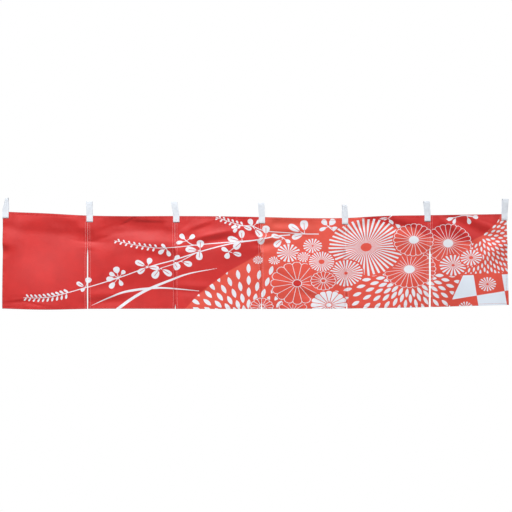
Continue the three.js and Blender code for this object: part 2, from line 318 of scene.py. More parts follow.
# Strokes: widths at the start, part of the way along and at the end.
Stroke = namedtuple("Stroke", "start middle end path")
STROKES = table(Stroke, [
    (1.8, 3.4, 4.0, [
        (75, 281), (130, 281), (185, 274), (290, 246), (395, 212), (495, 175), (585, 150),
        (670, 122), (770, 95), (862, 80)]),
    (1.8, 2.8, 4.0, [
        (380, 85), (465, 102), (525, 110), (590, 107), (680, 97), (770, 89), (862, 80), (925, 66),
        (975, 60)]),
    (2.4, 2.8, 2.6, [(533, 180), (570, 168), (602, 156), (650, 130)]),
    (2.4, 2.8, 2.4, [(622, 86), (640, 98), (664, 102)]),
    (2.4, 2.8, 2.4, [(766, 122), (784, 108), (800, 96)]),
    (2.0, 2.8, 3.0, [
        (722, 3), (755, 14), (808, 30), (845, 32), (890, 48), (972, 53), (1026, 56), (1074, 56)]),
    (2.4, 2.8, 2.4, [(955, 72), (940, 66), (925, 66)]),
    (2.4, 2.8, 3.0, [(1108, 30), (1122, 42), (1140, 58)]),
    (2.4, 2.6, 2.4, [(1290, 14), (1312, 8), (1330, -4)]),
    (2.4, 2.8, 2.4, [(1520, 15), (1560, 8), (1590, 3), (1640, 8)]),
    (10.5, 8.5, 1.6, [(384, 326), (435, 286), (495, 251), (585, 214), (640, 196), (724, 180)]),
    (1.6, 8.0, 2.0, [(304, 308), (360, 282), (420, 260), (515, 248), (590, 251), (664, 258)]),
])

# Leaves on a common node: where each one's middle is, and its size along and across.
Leaf = namedtuple("Leaf", "s t length width")
SPRIGS = [
    ((287, 247), [(268, 236, 27, 14), (294, 222, 19, 17), (278, 254, 17, 11)]),
    ((392, 213), [(386, 186, 23, 21), (408, 194, 16, 14), (371, 201, 20, 14),
                  (364, 217, 25, 17), (371, 239, 25, 17), (400, 231, 20, 14)]),
    ((490, 175), [(464, 163, 34, 18), (496, 155, 22, 18), (512, 178, 33, 15),
                  (469, 189, 28, 17)]),
    ((533, 180), [(517, 201, 31, 24), (556, 195, 35, 19)]),
    ((554, 111), [(545, 103, 18, 10), (537, 123, 23, 14), (561, 129, 21, 14)]),
    ((622, 86), [(608, 71, 22, 16), (641, 72, 22, 15), (599, 91, 24, 12)]),
    ((668, 119), [(669, 96, 26, 24), (637, 116, 37, 19), (666, 137, 29, 22)]),
    ((576, 153), [(589, 144, 25, 14), (588, 172, 29, 25)]),
    ((603, 156), [(627, 164, 29, 19)]),
    ((811, 86), [(810, 61, 28, 20), (780, 79, 37, 19), (794, 101, 30, 22)]),
    ((766, 122), [(752, 115, 25, 14), (760, 136, 21, 18), (794, 130, 28, 15)]),
    ((806, 30), [(785, 36, 21, 10), (788, 48, 18, 12), (831, 39, 28, 14)]),
    ((848, 34), [(841, 18, 23, 18), (868, 16, 20, 12), (868, 57, 31, 19)]),
    ((893, 66), [(893, 43, 27, 25), (877, 83, 26, 21)]),
    ((1026, 56), [(990, 36, 42, 22), (1025, 25, 35, 27), (1000, 65, 37, 19)]),
    ((953, 72), [(927, 66, 31, 15), (933, 91, 32, 20), (968, 83, 19, 14)]),
    ((1108, 30), [(1095, 15, 23, 18), (1121, 14, 25, 20), (1089, 38, 25, 12),
                  (1130, 37, 19, 15)]),
    ((1312, 8), [(1294, 12, 32, 13), (1322, 23, 20, 14)]),
    ((1338, 30), [(1347, 37, 18, 12)]),
    ((1560, 8), [(1536, 14, 25, 12), (1552, 23, 20, 12)]),
    ((1600, 5), [(1608, 23, 22, 14), (1632, 9, 22, 13)]),
]
LEAF_SWELL = 0.5
STALK_WIDTH = 2.2
STROKE_MIDDLE = 0.45
VEINED_FROM = 25
VEIN_END = 0.24
VEIN_MARGIN = 2

# Fern tips: leaflets on the two sides of a path that grow from the first length to the last.
Fern = namedtuple("Fern", "leaflets first last slimness path")
FERNS = [
    Fern(10, 12, 17, 0.44, [(84, 281), (130, 281), (185, 274), (234, 262)]),
    Fern(8, 9, 12, 0.56, [(386, 86), (465, 102), (529, 110)]),
    Fern(6, 10, 13, 0.52, [(729, 5), (755, 14), (819, 32)]),
]
# Each side's first place, in steps, and the angle that it makes with the path at the tip and base.
FernSide = namedtuple("FernSide", "side start tip_angle base_angle")
FERN_SIDES = [FernSide(-1, 0.25, 42, 70), FernSide(1, 0.75, 42, 42)]
LEAFLET_STAND_OFF = 3.0

# Flowers, back to front: across and down are half sizes, heart is a radius.
KINDS = ["rays", "outlined", "white heart", "dark heart", "filled"]
Flower = namedtuple("Flower", "kind s t across down petals heart")
FLOWERS = table(Flower, [
    ("white heart", 1388, 187, 89, 64, 24, 18),
    ("rays", 1236, 106, 131, 101, 42, 19),
    ("rays", 1165, 195, 61, 47, 26, 7),
    ("outlined", 982, 328, 52, 42, 14, 8),
    ("dark heart", 998, 230, 90, 74, 16, 15),
    ("outlined", 876, 311, 38, 29, 14, 7),
    ("rays", 865, 150, 18, 14, 12, 2),
    ("rays", 921, 151, 20, 14, 12, 2),
    ("rays", 970, 124, 41, 32, 16, 1),
    ("rays", 1023, 138, 24, 18, 14, 1),
    ("rays", 1053, 98, 33, 26, 16, 4),
    ("rays", 1082, 154, 44, 36, 26, 10),
    ("outlined", 1087, 221, 43, 33, 16, 9),
    ("filled", 1106, 307, 62, 50, 16, 10),
    ("white heart", 1527, 99, 89, 67, 24, 18),
    ("white heart", 1401, 85, 71, 56, 20, 16),
    ("rays", 1543, 176, 53, 37, 18, 6),
    ("rays", 1612, 151, 41, 28, 16, 8),
    ("rays", 1671, 245, 33, 25, 16, 5),
    ("rays", 1589, 326, 27, 22, 14, 4),
])
FLOWER_MARGIN = 2.5

# Flower lines: half widths, a ray's half width as a share of the pitch, and the rim's notches.
RAY_SHARE = 0.25
RAY_WIDEST = 3.8
RAY_UNEVEN = 0.02
RAY_BEAT = 2.4
LINE_HALF = 0.85
RIM_HALF = 1.15
RIM_NOTCH = 0.3
RIM_POWER = 3.0
SEAM_HALF = 1.4
RING_HALF = 1.0

# Fields of petals in staggered rings round a centre; turns are in degrees, clockwise from the right.
Field = namedtuple("Field", "s t first last pitch around turn stretch length width from_turn to_turn")
FIELDS = table(Field, [
    (832, 412, 89, 233, 20.5, 27, 10, 1.45, 34, 14, 180, 360),
    (1388, 207, 62.5, 220, 19.5, 21, 11, 1.25, 33, 12, -6, 186),
])

# A burst of drops, one after another at the golden angle, so that they fill evenly.
BURST_CENTRE = (1654, 80)
BURST_SPREAD = 9.6
BURST_DROPS = 290
BURST_TURNS = (-56, 152)
BURST_FROM = 12
DROP_SIZE = (19, 7.4)
GOLDEN_ANGLE = 137.508

# Slanted check in the lower right corner.
CHECK_CORNER = (1631, 284)
CHECK_CELL = (106, 78)
CHECK_LEAN = 0.155
CHECK_CLIMB = 0.126
CHECK_LEFT = (1578, 216, -0.5)
CHECK_TOP = 212
CHECK_MARGIN = 5


class Print:
    """Signed distances at points of the cloth. white, ground and check, which is the check's pale cells,
    are positive inside, and a vein runs where its value is near zero. owner is the flower that a
    point lies on, or -1, with the point's place u, v on it, as if the flower were round."""

    def __init__(self, s, t):
        self.s = s
        self.t = t
        self.ground = polygon_distance(s, t, GROUND_EDGE)
        self.white = np.full(s.shape, -FAR)
        self.vein = np.full(s.shape, FAR)
        self.check = np.full(s.shape, -FAR)
        self.owner = np.full(s.shape, -1)
        self.u = np.zeros(s.shape)
        self.v = np.zeros(s.shape)

    def near(self, s, t, reach):
        return (np.abs(self.s - s) < reach) & (np.abs(self.t - t) < reach)

    def add(self, where, inside):
        self.white[where] = np.maximum(self.white[where], inside)

    def clear(self, where, inside):
        """Takes the print away under a new motif."""
        self.white[where] = np.minimum(self.white[where], -inside)
        self.vein[where] = np.where(inside > 0, FAR, self.vein[where])


def polygon_distance(s, t, corners):
    """Distance to a polygon's edge, positive inside."""
    nearest = np.full(s.shape, np.inf)
    inside = np.zeros(s.shape, bool)
    for (s0, t0), (s1, t1) in zip(corners, corners[1:] + corners[:1]):
        run_s, run_t = s1 - s0, t1 - t0
        along = np.clip(((s - s0) * run_s + (t - t0) * run_t) / (run_s**2 + run_t**2), 0, 1)
        nearest = np.minimum(nearest, np.hypot(s - lerp(s0, s1, along), t - lerp(t0, t1, along)))
        if run_t != 0:
            crossing = s0 + (t - t0) * run_s / run_t
            inside ^= ((t0 > t) != (t1 > t)) & (s < crossing)
    return np.where(inside, nearest, -nearest)


def smooth_path(points, steps=8):
    """Points on a smooth curve through the given ones."""
    points = np.array(points, float)
    padded = np.vstack((2 * points[0] - points[1], points, 2 * points[-1] - points[-2]))
    path = [points[0]]
    for a, b, c, d in zip(padded, padded[1:], padded[2:], padded[3:]):
        for t in np.linspace(0, 1, steps + 1)[1:]:
            path.append(0.5 * (2 * b + (c - a) * t + (2 * a - 5 * b + 4 * c - d) * t**2
                               + (3 * b - 3 * c + d - a) * t**3))
    return np.array(path)


def paint_stroke(cloth, stroke):
    path = smooth_path(stroke.path)
    shares = np.linspace(0, 1, len(path))
    widths = np.array((stroke.start, stroke.middle, stroke.end))
    halves = np.interp(shares, (0, STROKE_MIDDLE, 1), widths / 2)
    for p, q, half_p, half_q in zip(path, path[1:], halves, halves[1:]):
        middle = (p + q) / 2
        where = cloth.near(*middle, np.hypot(*(q - p)) + FAR)
        ds, dt = cloth.s[where] - p[0], cloth.t[where] - p[1]
        along = np.clip((ds * (q - p)[0] + dt * (q - p)[1]) / np.sum((q - p) ** 2), 0, 1)
        away = np.hypot(ds - along * (q - p)[0], dt - along * (q - p)[1])
        cloth.add(where, lerp(half_p, half_q, along) - away)


def turned(cloth, where, s, t, direction):
    """Places along and to the side of a direction, from a point."""
    ds, dt = cloth.s[where] - s, cloth.t[where] - t
    along = ds * math.cos(direction) + dt * math.sin(direction)
    side = dt * math.cos(direction) - ds * math.sin(direction)
    return along, side


def paint_leaf(cloth, leaf, direction, veined):
    where = cloth.near(leaf.s, leaf.t, leaf.length)
    along, side = turned(cloth, where, leaf.s, leaf.t, direction)
    half = leaf.width / 2 * (1 + LEAF_SWELL * along / leaf.length)
    inside = (1 - np.hypot(along / (leaf.length / 2), side / half)) * half
    cloth.add(where, inside)
    if veined:
        runs = (inside > -VEIN_MARGIN) & (along < VEIN_END * leaf.length)
        cloth.vein[where] = np.where(runs, side, cloth.vein[where])


def paint_sprig(cloth, node, leaves):
    for leaf in table(Leaf, leaves):
        direction = math.atan2(leaf.t - node[1], leaf.s - node[0])
        stalk = Stroke(STALK_WIDTH, STALK_WIDTH, STALK_WIDTH, [node, (leaf.s, leaf.t)])
        paint_stroke(cloth, stalk)
        paint_leaf(cloth, leaf, direction, leaf.length > VEINED_FROM)


def step_lengths(line):
    return np.hypot(*np.diff(line, axis=0).T)


def place_on_path(path, share):
    """The point at a share of a path's length, and the way back from there, as an angle."""
    steps = np.diff(path, axis=0)
    travelled = np.concatenate(([0], np.cumsum(step_lengths(path))))
    place = share * travelled[-1]
    point = [np.interp(place, travelled, path[:, k]) for k in (0, 1)]
    step = steps[min(np.searchsorted(travelled, place), len(steps)) - 1]
    return point, math.atan2(-step[1], -step[0])


def paint_fern(cloth, fern):
    path = smooth_path(fern.path)
    for row in FERN_SIDES:
        for k in range(fern.leaflets):
            share = (k + row.start) / fern.leaflets
            base, to_tip = place_on_path(path, share)
            direction = to_tip + row.side * math.radians(lerp(row.tip_angle, row.base_angle, share))
            length = lerp(fern.first, fern.last, share)
            reach = LEAFLET_STAND_OFF + length / 2
            s = base[0] + reach * math.cos(direction)
            t = base[1] + reach * math.sin(direction)
            paint_leaf(cloth, Leaf(s, t, length, length * fern.slimness), direction, False)


def lens(along, side, length, width):
    """Inside of two equal arcs that meet in points."""
    radius = (length**2 + width**2) / (4 * width)
    return radius - np.hypot(along, np.abs(side) + radius - width / 2)


def in_turns(turn, turns):
    """The same turn counted from the first one, and whether it lies before the second."""
    turn = (turn - turns[0]) % 360 + turns[0]
    return turn, turn <= turns[1]


def polar(radius, turn, stretch=1):
    """An offset at a radius and a turn in degrees, stretched sideways."""
    angle = math.radians(turn)
    return radius * stretch * math.cos(angle), radius * math.sin(angle)


def paint_field(cloth, field):
    rings = int((field.last - field.first) / field.pitch) + 1
    for ring in range(rings):
        radius = field.first + ring * field.pitch
        for k in range(field.around):
            step = field.turn + 360 * (k + 0.5 * (ring % 2)) / field.around
            turn, inside = in_turns(step, (field.from_turn, field.to_turn))
            if inside:
                offset = polar(radius, turn, field.stretch)
                paint_petal(cloth, (field.s, field.t), offset, (field.length, field.width))


def paint_burst(cloth):
    for k in range(BURST_DROPS):
        radius = BURST_SPREAD * math.sqrt(k)
        turn, inside = in_turns(k * GOLDEN_ANGLE, BURST_TURNS)
        if inside and radius > BURST_FROM:
            paint_petal(cloth, BURST_CENTRE, polar(radius, turn), DROP_SIZE)


def paint_petal(cloth, centre, offset, size):
    """A pointed petal that lies along the line from a centre, at an offset from it."""
    direction = math.atan2(offset[1], offset[0])
    s = centre[0] + offset[0]
    t = centre[1] + offset[1]
    where = cloth.near(s, t, size[0])
    along, side = turned(cloth, where, s, t, direction)
    cloth.add(where, np.minimum(lens(along, side, *size), cloth.ground[where]))


def paint_check(cloth):
    ds = cloth.s - CHECK_CORNER[0]
    dt = cloth.t - CHECK_CORNER[1]
    column = (ds - CHECK_LEAN * dt) / CHECK_CELL[0]
    row = (dt + CHECK_CLIMB * ds) / CHECK_CELL[1]
    to_column = (0.5 - np.abs(column % 1 - 0.5)) * CHECK_CELL[0]
    to_row = (0.5 - np.abs(row % 1 - 0.5)) * CHECK_CELL[1]
    to_edge = np.minimum(to_column, to_row)
    white = (np.floor(column) + np.floor(row)) % 2 == 0
    left_s, left_t, left_lean = CHECK_LEFT
    in_left = cloth.s - left_s - left_lean * (cloth.t - left_t)
    region = np.minimum(in_left, cloth.t - CHECK_TOP)
    cloth.check = np.minimum(np.where(white, to_edge, -to_edge), region)
    cloth.clear(..., region + CHECK_MARGIN)
    cloth.add(..., cloth.check)


def place_flower(cloth, index, flower):
    where = cloth.near(flower.s, flower.t, flower.across + FAR)
    u = cloth.s[where] - flower.s
    v = (cloth.t[where] - flower.t) * flower.across / flower.down
    inside = flower.across + FLOWER_MARGIN - np.hypot(u, v)
    cloth.clear(where, inside)
    owned = inside > 0
    for layer, value in ((cloth.owner, index), (cloth.u, u), (cloth.v, v)):
        layer[where] = np.where(owned, value, layer[where])


def printed(s, t):
    """The whole print at points of the cloth."""
    cloth = Print(s, t)
    for field in FIELDS:
        paint_field(cloth, field)
    paint_burst(cloth)
    paint_check(cloth)
    for stroke in STROKES:
        paint_stroke(cloth, stroke)
    for fern in FERNS:
        paint_fern(cloth, fern)
    for node, leaves in SPRIGS:
        paint_sprig(cloth, node, leaves)
    for index, flower in enumerate(FLOWERS):
        place_flower(cloth, index, flower)
    return cloth


def whole(owner):
    """1 where a point and all the points round it lie on the same flower, otherwise 0."""
    rows, columns = owner.shape
    padded = np.pad(owner, 1, mode="edge")
    around = [padded[i:i + rows, j:j + columns] for i in range(3) for j in range(3)]
    return (np.all([other == owner for other in around], axis=0) & (owner >= 0)).astype(float)


def flower_values(cloth):
    """What the shader draws the flowers from, at points of the cloth."""
    kinds = [KINDS.index(flower.kind) for flower in FLOWERS] + [0]
    columns = {key: [getattr(flower, key) for flower in FLOWERS] + [1]
               for key in ("across", "petals", "heart")}
    values = {key: np.array(column, float)[cloth.owner] for key, column in columns.items()}
    return {**values, "kind": np.array(kinds, float)[cloth.owner], "whole": whole(cloth.owner),
            "u": cloth.u, "v": cloth.v}


# Meshes

def linked(name, data):
    made = bpy.data.objects.new(name, data)
    bpy.context.scene.collection.objects.link(made)
    return made


def new_object(name, points, faces, uv, materials):
    """A smooth mesh object, with a UV map in metres of flat cloth or tape."""
    mesh = bpy.data.meshes.new(name)
    mesh.from_pydata((points * MM).tolist(), [], list(map(tuple, faces)))
    mesh.polygons.foreach_set("use_smooth", np.ones(len(faces), bool))
    corners = np.empty(len(mesh.loops), np.int32)
    mesh.loops.foreach_get("vertex_index", corners)
    layer = mesh.uv_layers.new(name="flat")
    layer.data.foreach_set("uv", (uv[corners] * MM).astype(np.float32).ravel())
    for material in materials:
        mesh.materials.append(material)
    return linked(name, mesh)


def divisions(size):
    """Division lines over a length whose two ends are hemmed."""
    hem = np.array(HEM_LINES)
    start, end = hem[-1], size - hem[-1]
    inner = np.linspace(start, end, round((end - start) / CELL) + 1)[1:-1]
    return np.concatenate((hem, inner, size - hem[::-1]))


def edge_distance(across, drop, left_more=0, right_more=0):
    """Distance to the nearest edge, where more may be added at the two sides."""
    sides = np.minimum(across + left_more, PANEL_WIDTH - across + right_more)
    return np.minimum(sides, np.minimum(drop, PANEL_DROP - drop))


def skin_offsets(across, drop):
    """How far the front and the back skin stand from the cloth's middle."""
    edge = edge_distance(across, drop)
    hem_middle = (HALF_CLOTH - HEM_BACK) / 2
    hem_half = (HALF_CLOTH + HEM_BACK) / 2
    rounded = np.sqrt(1 - (1 - np.clip(edge / EDGE_ROUND, 0, 1)) ** 2)
    front = hem_middle + hem_half * rounded
    back = hem_middle - hem_half * rounded
    return front, lerp(back, -HALF_CLOTH, smoothstep(edge, *HEM_TURN))


def sheet_faces(rows, columns):
    """Quads of two skins that share the points round their edge."""
    front = np.arange(rows * columns).reshape(rows, columns)
    back = front.copy()
    inner = (rows - 2) * (columns - 2)
    back[1:-1, 1:-1] = rows * columns + np.arange(inner).reshape(rows - 2, columns - 2)

    def quads(grid):
        corners = (grid[:-1, :-1], grid[1:, :-1], grid[1:, 1:], grid[:-1, 1:])
        return np.stack(corners, axis=-1).reshape(-1, 4)

    return np.concatenate((quads(front), quads(back)[:, (0, 3, 2, 1)]))


def with_back(front, back=None):
    """Values for the front's points, then for the points that only the back has."""
    back = front if back is None else back
    shape = (-1,) + front.shape[2:]
    return np.concatenate((front.reshape(shape), back[1:-1, 1:-1].reshape(shape)))


def open_edge_distance(panel, across, drop):
    """Distance to an edge, where the sewn part of a side counts as farther away; it sets where painted
    shade darkens the cloth.
    """
    sewn = SEWN_SHADE_REACH * (1 - smoothstep(drop, *SLIT_LIFT))
    return edge_distance(across, drop, sewn * (panel > 0), sewn * (panel < len(BOWS) - 1))


def add_values(piece, key, values):
    layer = piece.data.attributes.new(key, "FLOAT", "POINT")
    layer.data.foreach_set("value", values.astype(np.float32))


def build_panel(panel, front_cloth, back_cloth):
    across, drop = np.meshgrid(divisions(PANEL_WIDTH), divisions(PANEL_DROP))
    middle = cloth_point(panel, across, drop)
    normal = cloth_normal(panel, across, drop)
    front_off, back_off = skin_offsets(across, drop)
    front = middle + normal * front_off[..., None]
    back = middle + normal * back_off[..., None]
    points = with_back(front, back)
    faces = sheet_faces(*across.shape)
    s = across + panel * PANEL_WIDTH
    uv = with_back(np.stack((s, PANEL_DROP - drop), axis=-1))
    name = f"cloth_panel_{panel + 1}"
    piece = new_object(name, points, faces, uv, (front_cloth, back_cloth))
    sides = np.repeat((0, 1), len(faces) // 2).astype(np.int32)
    piece.data.polygons.foreach_set("material_index", sides)
    design = printed(s, drop)
    for key in ("white", "vein", "ground", "check"):
        add_values(piece, key, with_back(getattr(design, key)))
    for key, values in flower_values(design).items():
        add_values(piece, f"flower_{key}", with_back(values))
    # Distance to the open edges, which sets the painted shade along them.
    add_values(piece, "edge", with_back(open_edge_distance(panel, across, drop)))
    return piece


def stitch_lines(panel):
    """Each line of stitches of a panel: its two ends and whether its thread is pale."""
    far_side = PANEL_WIDTH - SIDE_STITCH
    foot = PANEL_DROP - FOOT_STITCH
    low = PANEL_DROP - STITCH_INSET
    right = PANEL_WIDTH - STITCH_INSET
    return [
        ((SIDE_STITCH, STITCH_INSET), (SIDE_STITCH, low), panel > 0),
        ((far_side, STITCH_INSET), (far_side, low), panel < len(BOWS) - 1),
        ((STITCH_INSET, TOP_STITCH), (right, TOP_STITCH), False),
        ((STITCH_INSET, foot), (right, foot), False),
    ]


def build_stitches(panel, pale_thread, red_thread):
    rng = np.random.default_rng(panel + STITCH_SEED)
    points, threads = [], []
    for start, end, pale in stitch_lines(panel):
        start, end = np.array(start), np.array(end)
        length = np.hypot(*(end - start))
        heading = (end - start) / length
        count = int(length / STITCH_PITCH)
        places = (np.arange(count) + 0.5) * length / count
        centres = start + heading * places[:, None] + rng.normal(0, STITCH_SWAY, (count, 2))
        for face in (1, -1):
            points.append(stitch_points(panel, centres, heading, face))
            threads += [0 if pale else 1] * count
    points = np.concatenate(points)
    faces = grain_faces(len(threads))
    name = f"panel_{panel + 1}_stitches"
    piece = new_object(name, points, faces, points[:, (0, 2)], (pale_thread, red_thread))
    per_grain = len(faces) // len(threads)
    piece.data.polygons.foreach_set("material_index", np.repeat(threads, per_grain).astype(np.int32))
    return piece


def stitch_points(panel, centres, heading, face):
    """Rings of grains of thread, lying on the front (1) or the back (-1) of the hem."""
    shares, swells = np.array(STITCH_SECTIONS).T
    across = centres[:, :1] + heading[0] * shares * STITCH_LENGTH
    drop = centres[:, 1:] + heading[1] * shares * STITCH_LENGTH
    middle = cloth_point(panel, across, drop)
    normal = cloth_normal(panel, across, drop) * face
    surface = HALF_CLOTH if face > 0 else HEM_BACK
    run = middle[:, -1:] - middle[:, :1]
    sideways = np.cross(run / np.linalg.norm(run, axis=-1, keepdims=True), normal)
    angles = np.arange(STITCH_SIDES) * 2 * math.pi / STITCH_SIDES + math.pi / 2
    out = np.cos(angles)[:, None] * sideways[:, :, None] * STITCH_HALF_WIDTH
    up = np.sin(angles)[:, None] * normal[:, :, None] * STITCH_HEIGHT
    base = middle + normal * surface
    return (base[:, :, None] + (out + up) * swells[:, None, None]).reshape(-1, 3)


def grain_faces(count):
    """Side quads and end caps of grains that follow one another in the points."""
    n = STITCH_SIDES
    rings = len(STITCH_SECTIONS)
    faces = []
    for first in range(0, count * rings * n, rings * n):
        for ring in range(first, first + (rings - 1) * n, n):
            for k in range(n):
                a, b = ring + k, ring + (k + 1) % n
                faces.append((a, b, b + n, a + n))
        faces.append(tuple(first + k for k in reversed(range(n))))
        faces.append(tuple(first + (rings - 1) * n + k for k in range(n)))
    return faces


# Tape loops

LEG_STEPS = 26
TAIL_STEPS = 8
CROWN_STEPS = 18
TAPE_HALF = 0.45
SEWN_FRONT = 1.2
SEWN_BACK = 1.9
TAIL_END = 0.6
TAIL_PRESS = (12, 22)
TAPE_COLUMNS = np.concatenate(([-1, -0.985, -0.94], np.linspace(-0.86, 0.86, 17), [0.94, 0.985, 1]))
GATHERS = 1.1
GATHER_RISE = 1.8
TAPE_ROUND = 30


def crown_start(loop):
    return loop.rise - SOLID_TAPE / 2 - LOOP_HALF_GAP


def half_gap(height, sewn):
    """Depth of the tape's centreline from the cloth's middle, at heights above the top edge."""
    gap = lerp(sewn, LOOP_HALF_GAP, np.clip(height / LOOP_WIDE_AT, 0, 1))
    return lerp(gap, TAIL_END, smoothstep(-height, *TAIL_PRESS))


def tape_line(loop):
    """Centreline from the front end over the crown to the back end: depth to the back, height."""
    leg_end = crown_start(loop)
    tail = np.linspace(-TAIL_DROP, 0, TAIL_STEPS)[:-1]
    heights = np.concatenate((tail, np.linspace(0, leg_end, LEG_STEPS)[:-1]))
    front = np.stack((-half_gap(heights, SEWN_FRONT), heights), axis=-1)
    back = np.stack((half_gap(heights, SEWN_BACK), heights), axis=-1)
    angles = np.linspace(math.pi, 0, CROWN_STEPS + 1)
    crown = np.stack((np.cos(angles), np.sin(angles)), axis=-1) * LOOP_HALF_GAP + (0, leg_end)
    return np.concatenate((front, crown, back[::-1]))


def pinched(loop, height):
    return lerp(1, loop.pinch, smoothstep(height, PINCH_FROM, loop.rise))


def place_on_loop(loop, width, depth, height):
    risen = np.clip(height / loop.rise, 0, 1)
    x = loop.x + loop.lean * risen + width * pinched(loop, height)
    return np.stack((x, depth, outline_at(loop.x, "top") + height), axis=-1)


def line_length(line):
    return float(np.sum(step_lengths(line)))


def build_loop(index, loop, tape):
    line = tape_line(loop)
    along = np.gradient(line, axis=0)
    outwards = np.stack((-along[:, 1], along[:, 0]), axis=-1)
    outwards /= np.linalg.norm(outwards, axis=1, keepdims=True)
    travelled = np.concatenate(([0], np.cumsum(step_lengths(line))))
    widths = TAPE_COLUMNS * TAPE_WIDTH / 2
    rounded = np.sqrt(np.clip(1 - np.abs(TAPE_COLUMNS) ** TAPE_ROUND, 0, 1))
    ends = np.ones(len(line))
    ends[[0, -1]] = 0
    thick = TAPE_HALF * rounded[None, :] * ends[:, None]
    waves = np.cos(2 * math.pi * GATHERS * TAPE_COLUMNS)
    gathered = GATHER_RISE * (1 - pinched(loop, line[:, 1]))[:, None] * waves[None, :]

    def skin(side):
        off = side * thick + gathered
        depth, height = [line[:, None, k] + outwards[:, None, k] * off for k in (0, 1)]
        return place_on_loop(loop, np.broadcast_to(-widths, depth.shape), depth, height)

    points = with_back(skin(1), skin(-1))
    faces = sheet_faces(len(line), len(widths))
    flat = np.stack(np.broadcast_arrays(widths[None, :], travelled[:, None]), axis=-1)
    piece = new_object(f"tape_loop_{index + 1}", points, faces, with_back(flat), (tape,))
    # Distance along the tape from its crown, where painted shade greys it.
    add_values(piece, "crown", with_back(np.abs(flat[..., 1] - travelled[-1] / 2)))
    return piece


# Materials. Noise scales are for places in metres, and a pair of numbers is the ends of a span.

DEEP_RED = (0.640, 0.024, 0.022, 1)
LIGHT_RED = (0.790, 0.086, 0.056, 1)
WHITE_INK = (0.845, 0.865, 0.915, 1)
COOL_INK = (0.83, 0.91, 1.0, 1)
BACK_RED = (0.640, 0.090, 0.080, 1)
BACK_WHITE = (0.780, 0.660, 0.660, 1)
FRONT_STRENGTH = 0.98
BACK_STRENGTH = 0.9
NOISE_SPAN = (0.3, 0.7)
BUMP_DEPTH = 0.0004

# How sharply the print ends, in millimetres, and how far its edge wanders.
INK_SPAN = (-0.45, 0.45)
CHECK_SPAN = (-0.5, 0.5)
GROUND_SPAN = (-3.0, 3.0)
VEIN_SPAN = (0.5, 1.4)
HEART_SPAN = (0.5, -0.5)
BLEED_SCALE = 900.0
BLEED_REACH = 0.6
WHOLE_FROM = 0.02
KIND_MARGIN = 0.3

# Cloth: patches of dye, thicker threads, painted shade that darkens the open edges, gloss and weave.
# Patches have a noise scale, a lowest and a highest value and, where it matters, a detail.
MOTTLE = (14.0, 0.93, 1.05, 4.0)
SLUBS = (1.0, 0.97, 1.03)
SLUB_STRETCH = (60.0, 1400.0)
# Painted shade along the open edges: its reach in millimetres and its darkest tone.
EDGE_SHADE_SPAN = (0.2, 1.6)
EDGE_SHADE_TONE = 0.38
CLOTH_ROUGHNESS = (40.0, 0.42, 0.52)
THREAD_PITCH = 0.0007
YARN_STRETCH = (900.0, 60.0)
CLOTH_BUMP = 0.25
CLOTH_FIXED = {"Specular IOR Level": 0.5}

# Tape, with painted shade that greys it towards the crown, and sewing thread.
TAPE_TONES = ((0.83, 0.87, 0.93, 1), (0.89, 0.92, 0.97, 1))
TAPE_PATCHES = (120.0, 0.0, 1.0, 3.0)
CROWN_SHADE_SPAN = (2.0, 10.0)
CROWN_SHADE_TONE = 0.66
TAPE_STRETCH = (1.0, 0.6)
TAPE_PITCH = 0.0011
TAPE_ROUGHNESS = (90.0, 0.62, 0.78)
TAPE_BUMP = 0.5
PALE_THREAD = ((0.76, 0.30, 0.30, 1), (0.82, 0.42, 0.42, 1))
RED_THREAD = ((0.52, 0.03, 0.03, 1), (0.66, 0.06, 0.05, 1))
TWIST_STRETCH = (1800.0, 1800.0)
THREAD_ROUGHNESS = (0.5, 0.7)
THREAD_BUMP = 0.4
WOVEN_FIXED = {"Specular IOR Level": 0.4}

FLOOR_TONES = ((0.40, 0.40, 0.39, 1), (0.46, 0.46, 0.45, 1))
FLOOR_NOISE = (3.0, 4.0)
FLOOR_ROUGHNESS = (0.6, 0.75)
FLOOR_GRAIN = 300.0
FLOOR_BUMP = 0.1


class Value:
    """A number that a graph works out at each point, for use in sums."""

    def __init__(self, graph, socket):
        self.graph = graph
        self.socket = socket

    def to(self, operation, *others):
        return self.graph.math(operation, self, *others)

    def __add__(self, other):
        return self.to("ADD", other)

    def __sub__(self, other):
        return self.to("SUBTRACT", other)

    def __rsub__(self, other):
        return self.graph.math("SUBTRACT", other, self)

    def __mul__(self, other):
        return self.to("MULTIPLY", other)

    def __truediv__(self, other):
        return self.to("DIVIDE", other)


def least(*values):
    return reduce(lambda a, b: a.to("MINIMUM", b), values)


def most(*values):
    return reduce(lambda a, b: a.to("MAXIMUM", b), values)


def band(half, distance):
    """Inside of a line of a half width, at a distance from its middle."""
    return half - distance.to("ABSOLUTE")


